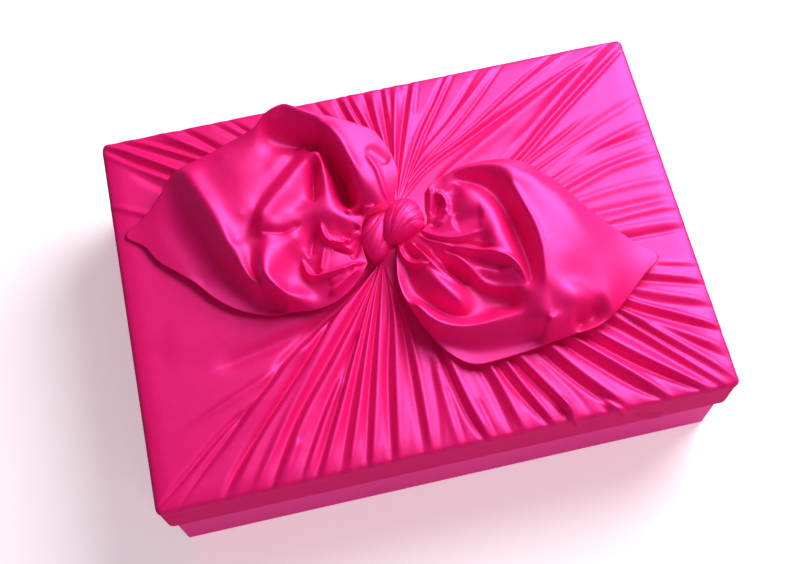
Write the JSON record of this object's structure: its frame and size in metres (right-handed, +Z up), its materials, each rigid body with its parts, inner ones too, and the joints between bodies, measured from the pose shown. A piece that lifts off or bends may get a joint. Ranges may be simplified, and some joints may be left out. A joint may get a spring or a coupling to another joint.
{
  "type": "furoshiki wrap on a gift box",
  "caption": "Shallow rectangular gift box whose lid is covered by one pleated cloth, drawn to a knot near the middle with its free corners spread as ears.",
  "frame": {"origin": "middle of the base's flat underside", "axes": "+X along the box's long side, +Y to the back, +Z up out of the lid; the front with its pleated rim faces -Y"},
  "size_m": [0.4009, 0.286, 0.1431],
  "materials": {
    "cloth": "hot pink satin-faced stretch cloth",
    "covered_board": "rigid board covered in matt pink paper"
  },
  "bodies": {
    "base": {"base": "covered_board"},
    "lid": {"lid": "covered_board", "furoshiki": "cloth"}
  },
  "joints": [
    {"name": "lid_lift", "type": "slide", "parent": "base", "child": "lid", "axis": [0, 0, 1], "range_m": [0, 0.06]}
  ]
}
